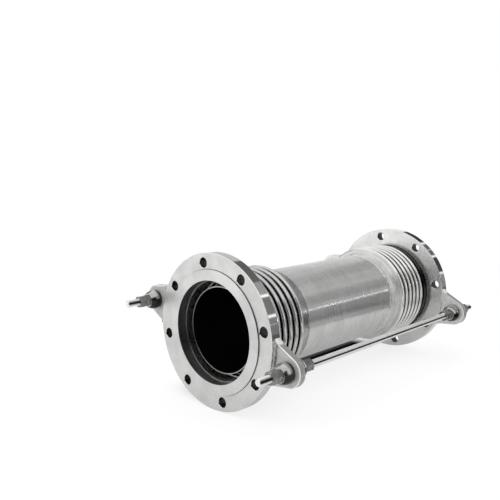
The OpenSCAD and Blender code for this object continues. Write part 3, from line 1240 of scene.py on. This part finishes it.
@dataclass(frozen=True)
class BallSeat:
    """Seat ring, cup, nut and locknut on one face of a lug."""

    layout: Layout
    end: End
    side: Side
    face: Face
    lug_mid: float = 19.0 * MM
    lug_half: float = 8.0 * MM
    ball_r: float = 25.0 * MM
    seat_r: float = 19.8 * MM
    seat_hole_r: float = 10.0 * MM
    lip_r: float = 21.5 * MM
    lip_width: float = 0.5 * MM
    lip_bevel: float = 0.1 * MM
    top_r: float = 15.5 * MM
    top_bevel: float = 0.6 * MM
    cup_height: float = 18.0 * MM
    cup_bore_r: float = 8.5 * MM
    near_gap: float = 0.3 * MM
    far_gap: float = 0.65 * MM
    nut_half_flats: float = 12.0 * MM
    nut_height: float = 13.0 * MM
    nut_bore_r: float = 8.1 * MM
    nut_bore_bevel: float = 0.8 * MM
    nut_face_share: float = 0.95
    nut_turn: float = math.radians(15.0)
    nut_points: int = 96
    bevel_points: int = 9
    seat_steps: int = 12
    dome_steps: int = 18
    hollow_steps: int = 10
    segments: int = 72

    @property
    def axis(self) -> Axis:
        """The seat's axis: heights from the lug's middle, outwards from this face."""
        along = np.array([self.end.sign, 0.0, 0.0])
        origin = self.layout.rod_centre(self.side) - (self.layout.half_length - self.lug_mid) * along
        return Axis(origin, along if self.face is Face.INNER else -along, self.layout.lug_way)

    @property
    def stack(self) -> str:
        """Start of the names of this stack's nodes."""
        return f"{self.end.value}_{self.side.value}_{self.face.value}"

    @property
    def lip_height(self) -> float:
        """Height of the cup's lip, which is where the seat's side meets its ball face."""
        return math.sqrt(self.ball_r**2 - self.seat_r**2)

    def seat(self) -> None:
        """Builds the seat ring: a flat ring whose far face is part of a ball."""
        first = math.degrees(math.asin(self.lip_height / self.ball_r))
        last = math.degrees(math.acos(self.seat_hole_r / self.ball_r))
        ring = [(self.seat_hole_r, self.lug_half), (self.seat_r, self.lug_half)]
        profile = np.vstack([ring, arc((0.0, 0.0), self.ball_r, first, last, self.seat_steps)])
        skin = Skin(f"{self.stack}_seat_ring").turned(self.axis, profile, self.segments)
        line = self.layout.rod_line(self.side)
        skin.build(self.end.body, "polished_cup", [SHADED_SEAT], f"{self.stack}_seat", centre=line)

    def cup(self) -> None:
        """Builds the cup: domed outside by one arc from lip to nut, hollowed by the ball.

        The dome stands square on the lip, so its radius is (w squared + h squared) / 2w for a
        dome that draws in by w over a height h. It stops short of its ends for the bevels.
        """
        lip, top, bevel = self.lip_height, self.lip_height + self.cup_height, self.top_bevel
        draw_in, short = self.lip_r - self.top_r, 1.0
        dome_r = (draw_in**2 + self.cup_height**2) / (2 * draw_in)
        top_angle = math.degrees(math.asin(self.cup_height / dome_r))
        hollow_r = self.ball_r + (self.near_gap if self.end is End.NEAR else self.far_gap)
        first = math.degrees(math.acos(self.cup_bore_r / hollow_r))
        last = math.degrees(math.asin(lip / hollow_r))
        profile = np.vstack([
            [(self.lip_r - self.lip_width, lip), (self.lip_r - self.lip_bevel, lip + self.lip_bevel)],
            arc((self.lip_r - dome_r, lip), dome_r, short, top_angle - short, self.dome_steps),
            [(self.top_r - bevel / 3, top - bevel / 6), (self.top_r - bevel, top), (self.cup_bore_r, top)],
            arc((0.0, 0.0), hollow_r, first, last, self.hollow_steps),
        ])
        skin = Skin(f"{self.stack}_ball_cup").turned(self.axis, profile, self.segments)
        line = self.layout.rod_line(self.side)
        skin.build("tie_rods", "polished_cup", [POLISHED_CUP], f"{self.stack}_cup", centre=line)

    def nut(self, place: int, turn: float) -> None:
        """Builds one hexagon nut.

        Its radius is the smaller of the hexagon's, half its flats over the cosine of the angle
        from the nearest flat's middle, and a cone's that slopes at 30 degrees from each face.

        Args:
            place: 0 for the nut at the cup, 1 for the locknut behind it.
            turn: Angle that it is turned by, in radians.
        """
        tall, soft, bore_r, lean = self.nut_height, self.nut_bore_bevel, self.nut_bore_r, math.pi / 6
        face_r = self.nut_half_flats * self.nut_face_share
        slope = 1.0 / math.tan(lean)
        rise = (self.nut_half_flats / math.cos(lean) - face_r) / slope
        low = np.linspace(0.0, rise, self.bevel_points)
        height = np.concatenate([low, tall - low[::-1]])[:, None]
        angle = np.arange(self.nut_points) * TURN / self.nut_points
        hexagon = self.nut_half_flats / np.cos(np.mod(angle + lean, 2 * lean) - lean)
        radius = np.minimum(hexagon, face_r + slope * np.minimum(height, tall - height))
        bore = np.array([(bore_r + soft, tall), (bore_r, tall - soft), (bore_r, soft), (bore_r + soft, 0.0)])
        rings = np.vstack([radius, bore[:, :1] * np.ones(self.nut_points)])
        base = self.lip_height + self.cup_height + place * tall
        points = self.axis.place(rings, angle + turn, np.vstack([height, bore[:, 1:]]) + base)
        kind = ("nut", "locknut")[place]
        skin = Skin(f"{self.stack}_hex_{kind}").grid(points, True, True)
        line = self.layout.rod_line(self.side)
        skin.build("tie_rods", "nut_steel", [TUMBLED_NUT], f"{self.stack}_{kind}", centre=line)

    def make(self, seed: int) -> None:
        """Builds the four pieces of this stack.

        Args:
            seed: Seed for how far the nuts are turned.
        """
        turns = np.random.default_rng(seed).uniform(-self.nut_turn, self.nut_turn, 2)
        self.seat()
        self.cup()
        for place, turn in enumerate(turns):
            self.nut(place, turn)


@dataclass(frozen=True)
class TieRod:
    """Bar with a reduced shank between two threaded ends.

    The thread's radius falls from crest to root with a triangle wave of height over pitch less
    angle over a full turn, with its crest and root cut flat.
    """

    layout: Layout
    side: Side
    thread_r: float = 8.0 * MM
    shank_r: float = 7.35 * MM
    pitch: float = 2.0 * MM
    depth: float = 1.1 * MM
    root_flat: float = 0.25
    crest_flat: float = 0.125
    end_bevel: float = 1.8 * MM
    lug_mid: float = 19.0 * MM
    nut_end: float = 59.26 * MM
    thread_end: float = 65.26 * MM
    run_out: float = 0.8 * MM
    shank_steps: int = 24
    segments: int = 40
    steps_a_pitch: int = 10

    def heights(self) -> np.ndarray:
        """Heights of the rings on one half, from the middle to the tip.

        They are close together on the thread, and close up over the last 6 mm of the shank.

        Returns:
            The heights.
        """
        ball, tip, pitch = self.layout.half_length - self.lug_mid, self.layout.rod_tip, self.pitch
        inner_end, fine = ball - self.thread_end, pitch / self.steps_a_pitch
        closing = inner_end - np.array([6.0, 5.0, 3.0, 1.5]) * MM
        shank = np.linspace(0.0, closing[0], self.shank_steps)
        inner = np.arange(inner_end - self.run_out, ball - self.nut_end + pitch, fine)
        stud = np.arange(ball + self.nut_end - pitch, tip, fine)
        return np.concatenate([shank, closing[1:], inner, stud, [tip]])

    def make(self) -> None:
        """Builds the rod."""
        half, tip = self.heights(), self.layout.rod_tip
        height = np.concatenate([-half[:0:-1], half])[:, None]
        angle = np.arange(self.segments) * TURN / self.segments
        from_root = np.abs(2.0 * np.mod(height / self.pitch - angle / TURN, 1.0) - 1.0)
        crest = 1.0 - self.crest_flat
        cut = np.clip((crest - from_root) / (crest - self.root_flat), 0.0, 1.0)
        away = np.abs(height)
        start = self.layout.half_length - self.lug_mid - self.thread_end
        fade = np.clip((away - start) / self.pitch, 0.0, 1.0)
        outer = self.shank_r + (self.thread_r - self.shank_r - self.depth * cut) * fade
        radius = np.minimum(outer, self.thread_r - self.end_bevel + (tip - away))
        axis = Axis(self.layout.rod_centre(self.side), np.array(PIPE_AXIS), self.layout.lug_way)
        skin = Skin(f"{self.side.value}_threaded_rod")
        skin.grid(axis.place(radius, angle, height), False, True)
        for edge, level in ((radius[0], -tip), (radius[-1], tip)):
            skin.grid(axis.place(np.stack([edge, np.zeros_like(edge)]), angle, level), False, True)
        line = self.layout.rod_line(self.side)
        skin.build("tie_rods", "rod_steel", [DRAWN_ROD], f"{self.side.value}_tie_rod", centre=line)


# Screens that only metal shows: name, reach from the +X axis, reach round it, colour, and glow
# where it isn't 1. They stand in bands from the far end to the near end. Angles are in degrees.
FAR_BAND, MIDDLE_BAND, NEAR_BAND, SIDE_BAND = (18.0, 33.0), (33.0, 44.0), (44.0, 56.0), (56.0, 70.0)
SCREENS = (
    ("far_first_screen", FAR_BAND, (46.0, 92.0), "#3d3d3d"),
    ("far_second_screen", FAR_BAND, (92.0, 124.0), "#646464"),
    ("far_third_screen", FAR_BAND, (124.0, 159.0), "#3d3d3d"),
    ("far_fourth_screen", FAR_BAND, (159.0, 186.0), "#8e8e8e"),
    ("middle_first_screen", MIDDLE_BAND, (66.0, 168.0), "#c8c8c8"),
    ("middle_second_screen", MIDDLE_BAND, (168.0, 186.0), "#666666"),
    ("near_top_screen", NEAR_BAND, (5.0, 58.0), "#cccccc"),
    ("near_first_screen", NEAR_BAND, (58.0, 105.0), "#626262"),
    ("near_second_screen", NEAR_BAND, (105.0, 130.0), "#a0a0a0"),
    ("near_third_screen", NEAR_BAND, (130.0, 186.0), "#787878"),
    ("side_roof_screen", SIDE_BAND, (50.0, 157.0), "#a0a0a0"),
    ("side_right_screen", SIDE_BAND, (157.0, 186.0), "#707070"),
    ("camera_screen", (96.0, 168.0), (136.0, 184.0), "#2c2c2c"),
    ("back_screen", (70.0, 120.0), (-8.0, 40.0), "#5a5a5a"),
)
# Flat cards on the floor that only metal shows: name, reach along X and along Y, and colour.
CARDS = (
    ("right_card", (0.25, 3.5), (-3.0, -0.36), "#565656"),
    ("back_card", (0.0, 0.7), (0.25, 1.0), "#4c4c4c"),
    ("far_back_card", (1.5, 3.0), (0.2, 1.0), "#808080"),
)
# Narrow bright screens in front of the others, which show as streaks of light on the metal.
STRIPS = (
    ("far_first_strip", (20.0, 31.0), (89.3, 93.7), "#ffffff", 1.1),
    ("far_second_strip", (20.0, 31.0), (121.8, 126.2), "#ffffff", 1.1),
    ("far_third_strip", (20.0, 31.0), (156.7, 160.3), "#ffffff", 1.1),
    ("far_thin_strip", (20.0, 31.0), (108.3, 109.7), "#e0e0e0", 1.1),
    ("near_first_strip", (46.0, 54.0), (126.2, 129.8), "#ffffff", 1.3),
    ("near_second_strip", (46.0, 54.0), (156.2, 159.8), "#ffffff", 1.3),
    ("near_thin_strip", (46.0, 54.0), (169.2, 170.0), "#d0d0d0", 1.1),
    ("long_strip", (38.5, 46.0), (165.0, 166.4), "#ffffff", 15.0),
)


@dataclass(frozen=True)
class Studio:
    """Pale floor, white background, soft lamps and the camera at the photograph's angle."""

    floor_height: float
    eye: tuple[float, float, float] = (-1.2069, -0.9359, 0.3449)
    heading: float = 44.056
    dip: float = 7.689
    focal_px: float = 622.6
    image_px: float = 500.0
    sensor_mm: float = 36.0
    floor_size: float = 60.0
    near_floor: float = 0.9
    far_floor: float = 2.2
    screen_distance: float = 3.0
    strip_forward: float = 0.05
    card_lift: float = 2.0 * MM
    shadow_x: Pair = (0.36, 0.27)
    shadow_y_start: Pair = (0.010, 0.034)
    shadow_y_end: Pair = (0.21, 0.07)
    shadow_lift: float = 0.8
    mirror_lift: float = 0.3
    world_light: float = 0.9
    lamp_watts: float = 30.0

    def camera(self) -> None:
        """Sets the camera level, turned by its heading from +X to +Y, and tipped down by its dip."""
        data = bpy.data.cameras.new("camera")
        data.sensor_width = self.sensor_mm
        data.lens = self.focal_px / self.image_px * self.sensor_mm
        camera = show("camera", data)
        turn, dip = math.radians(self.heading), math.radians(self.dip)
        ahead = Vector((math.cos(turn) * math.cos(dip), math.sin(turn) * math.cos(dip), -math.sin(dip)))
        right = ahead.cross(Vector((0.0, 0.0, 1.0))).normalized()
        basis = Matrix((right, right.cross(ahead), -ahead)).transposed()
        camera.matrix_world = Matrix.Translation(self.eye) @ basis.to_4x4()
        bpy.context.scene.camera = camera

    def world(self) -> None:
        """White where camera, glossy and transmission rays show it, and a little darker as light."""
        world = bpy.data.worlds.new("white_ground")
        nodes = Nodes.cleared(world)
        shown = nodes.math("MAXIMUM", nodes.light_path("Camera"), nodes.light_path("Glossy"))
        shown = nodes.math("MAXIMUM", shown, nodes.light_path("Transmission"))
        strength = nodes.spread(shown, 0.0, 1.0, self.world_light, 1.0)
        values = {"Color": linear("#ffffff"), "Strength": strength}
        light = nodes.out("ShaderNodeBackground", "Background", values)
        add_node(nodes.tree, "ShaderNodeOutputWorld", {"Surface": light})
        bpy.context.scene.world = world

    def floor(self) -> None:
        """White floor that keeps the object's shadow, and glows white far away to meet the ground."""
        mesh, half = bpy.data.meshes.new("floor"), self.floor_size / 2
        corners = [(-half, -half), (half, -half), (half, half), (-half, half)]
        mesh.from_pydata([(x, y, self.floor_height) for x, y in corners], [], [(0, 1, 2, 3)])
        floor = show("floor", mesh)
        paint = bpy.data.materials.new("white_floor")
        nodes = Nodes.cleared(paint)
        place = nodes.out("ShaderNodeTexCoord", "Object")
        far = nodes.spread(nodes.vector("LENGTH", place), self.near_floor, self.far_floor)
        # Glossy rays see the floor near the object in light grey: painted shade in the metal's reflections.
        tone = nodes.mix(nodes.light_path("Glossy"), linear("#f4f4f4"), linear("#bcbcbc"))
        deep = nodes.math("MULTIPLY", self._contact_shadow(nodes, place), nodes.light_path("Camera"))
        ground = nodes.mix(deep, tone, linear("#0a0a0a"))
        matte = nodes.out("ShaderNodeBsdfDiffuse", "BSDF", {"Color": ground})
        glow = nodes.out("ShaderNodeEmission", "Emission", {"Strength": 1.0})
        share = self._glow_share(nodes, far, deep)
        mixed = nodes.out("ShaderNodeMixShader", "Shader", {0: share, 1: matte, 2: glow})
        add_node(nodes.tree, "ShaderNodeOutputMaterial", {"Surface": mixed})
        mesh.materials.append(paint)

    def _contact_shadow(self, nodes: Nodes, place: Socket) -> Socket:
        """Deep shadow on the ground behind the pipe's foot, which shows through the gap above the rod.

        It is the product of one ramp along X, the same both ways, and two along Y, in metres.

        Args:
            nodes: The floor's nodes.
            place: Place on the floor.

        Returns:
            1 in the deep shadow, 0 outside it.
        """
        x, y, _ = nodes.parts(place)
        share = nodes.spread(nodes.math("ABSOLUTE", x), *self.shadow_x)
        for ramp in (self.shadow_y_start, self.shadow_y_end):
            share = nodes.math("MULTIPLY", share, nodes.spread(y, *ramp))
        return share

    def _glow_share(self, nodes: Nodes, far: Socket, deep: Socket) -> Socket:
        """Share of the floor that glows white: all of it far away, and part of it where it is seen.

        Args:
            nodes: The floor's nodes.
            far: 0 near the object, 1 far away.
            deep: 1 in the deep shadow.

        Returns:
            The share. What is left takes the object's shadow.
        """
        mirrored = nodes.math("MULTIPLY", nodes.light_path("Glossy"), self.mirror_lift)
        seen = nodes.math("MULTIPLY_ADD", nodes.light_path("Camera"), self.shadow_lift, mirrored)
        lit = nodes.math("SUBTRACT", 1.0, deep)
        return nodes.math("MAXIMUM", nodes.math("MULTIPLY", seen, lit), far)

    def lamp(self, name: str, place: tuple[float, float, float], size: Pair) -> None:
        """Adds a soft lamp that faces the object.

        Args:
            name: Its name.
            place: Its middle, in metres.
            size: Its width and height, in metres.
        """
        data = bpy.data.lights.new(name, "AREA")
        data.shape = "RECTANGLE"
        data.size, data.size_y = size
        data.energy = self.lamp_watts
        lamp = show(name, data)
        lamp.location = place
        lamp.rotation_euler = (-Vector(place)).to_track_quat("-Z", "Y").to_euler()
        lamp.visible_camera = lamp.visible_glossy = False

    def screen(self, name: str, reach: Pair, turn: Pair, colour: str, glow: float = 1.0) -> None:
        """Adds a curved screen that only reflections show, as a photographer puts round bright metal.

        It is a patch of a sphere about the object: X is the radius times the cosine of the angle
        from the pipe axis, and Y and Z are its sine times the cosine and sine of the turn.

        Args:
            name: Its name.
            reach: First and last angle from the +X axis, in degrees.
            turn: First and last turn about X, from +Y over the top, in degrees.
            colour: Its colour.
            glow: How many times brighter than its colour it shows.
        """
        rows, cols = 9, 17
        tilt = np.radians(np.linspace(*reach, rows))[:, None] * np.ones(cols)
        swing = np.radians(np.linspace(*turn, cols))
        distance = self.screen_distance - (self.strip_forward if glow > 1.0 else 0.0)
        points = [np.cos(tilt), np.sin(tilt) * np.cos(swing), np.sin(tilt) * np.sin(swing)]
        index = np.arange(rows * cols).reshape(rows, cols)
        faces = np.stack([index[:-1, :-1], index[1:, :-1], index[1:, 1:], index[:-1, 1:]], axis=-1)
        points = distance * np.stack(points, axis=-1).reshape(-1, 3)
        self._show_to_metal(name, points.tolist(), faces.reshape(-1, 4).tolist(), colour, glow)

    def card(self, name: str, x: Pair, y: Pair, colour: str) -> None:
        """Adds a flat card on the floor that only reflections show.

        Args:
            name: Its name.
            x: Its reach along X, in metres.
            y: Its reach along Y, in metres.
            colour: Its colour.
        """
        level = self.floor_height + self.card_lift
        corners = [(x[0], y[0], level), (x[1], y[0], level), (x[1], y[1], level), (x[0], y[1], level)]
        self._show_to_metal(name, corners, [(0, 1, 2, 3)], colour, 1.0)

    def _show_to_metal(self, name: str, points: list, faces: list, colour: str, glow: float) -> None:
        """Makes a glowing surface that only glossy rays meet.

        Args:
            name: Its name.
            points: Its points.
            faces: Its faces, as indices.
            colour: Its colour.
            glow: How many times brighter than its colour it shows.
        """
        mesh = bpy.data.meshes.new(name)
        mesh.from_pydata(points, [], faces)
        card = bpy.data.materials.new(name)
        nodes = Nodes.cleared(card)
        light = nodes.out("ShaderNodeEmission", "Emission", {"Color": linear(colour), "Strength": glow})
        add_node(nodes.tree, "ShaderNodeOutputMaterial", {"Surface": light})
        mesh.materials.append(card)
        screen = show(name, mesh)
        screen.visible_camera = screen.visible_diffuse = False
        screen.visible_shadow = screen.visible_transmission = False

    def make(self) -> None:
        """Builds the whole studio."""
        self.camera()
        self.world()
        self.floor()
        self.lamp("left_lamp", (-2.2, 1.4, 1.6), (1.6, 1.6))
        self.lamp("top_lamp", (0.2, -0.6, 2.4), (2.0, 2.2))
        for row in SCREENS:
            self.screen(*row)
        for row in CARDS:
            self.card(*row)
        for row in STRIPS:
            self.screen(*row)
        bpy.context.scene.view_settings.view_transform = "Standard"


def make_liners(layout: Layout, pipe: CentrePipe) -> None:
    """Builds the outlet liner, held inside the pipe, and the inlet liner, held in the far flange.

    Args:
        layout: Where the pieces are.
        pipe: The centre pipe.
    """
    past_bellows, band_gap, outlet_free, inlet_set_back = 16.0 * MM, 0.25 * MM, 29.0 * MM, 2.0 * MM
    outlet_band = pipe.radius - pipe.wall - band_gap
    inlet_band = Flange(layout, End.FAR).bore_r - band_gap
    outlet_flare = layout.cuff_end + past_bellows
    inlet_flare = inlet_set_back + Liner.band + inlet_band - Liner.sleeve_r
    inlet_free = Bellows(layout, End.FAR).waves_end + past_bellows
    Liner(layout, "outlet_liner", End.NEAR, "middle", outlet_free, outlet_flare, outlet_band).make()
    Liner(layout, "inlet_liner", End.FAR, "far_end", inlet_free, inlet_flare, inlet_band).make()


def main() -> None:
    """Builds every piece, then the studio."""
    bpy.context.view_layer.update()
    layout = Layout.from_frame()
    pipe = CentrePipe(layout)
    for end in End:
        Flange(layout, end).make()
        Collar(layout, end).make()
        Bellows(layout, end).make()
        for side in Side:
            Lug(layout, end, side).make()
    pipe.make()
    make_liners(layout, pipe)
    for seed, place in enumerate(product(End, Side, Face)):
        BallSeat(layout, *place).make(seed)
    for side in Side:
        TieRod(layout, side).make()
    Studio(floor_height=-layout.flange_r).make()


if __name__ == "__main__":
    main()
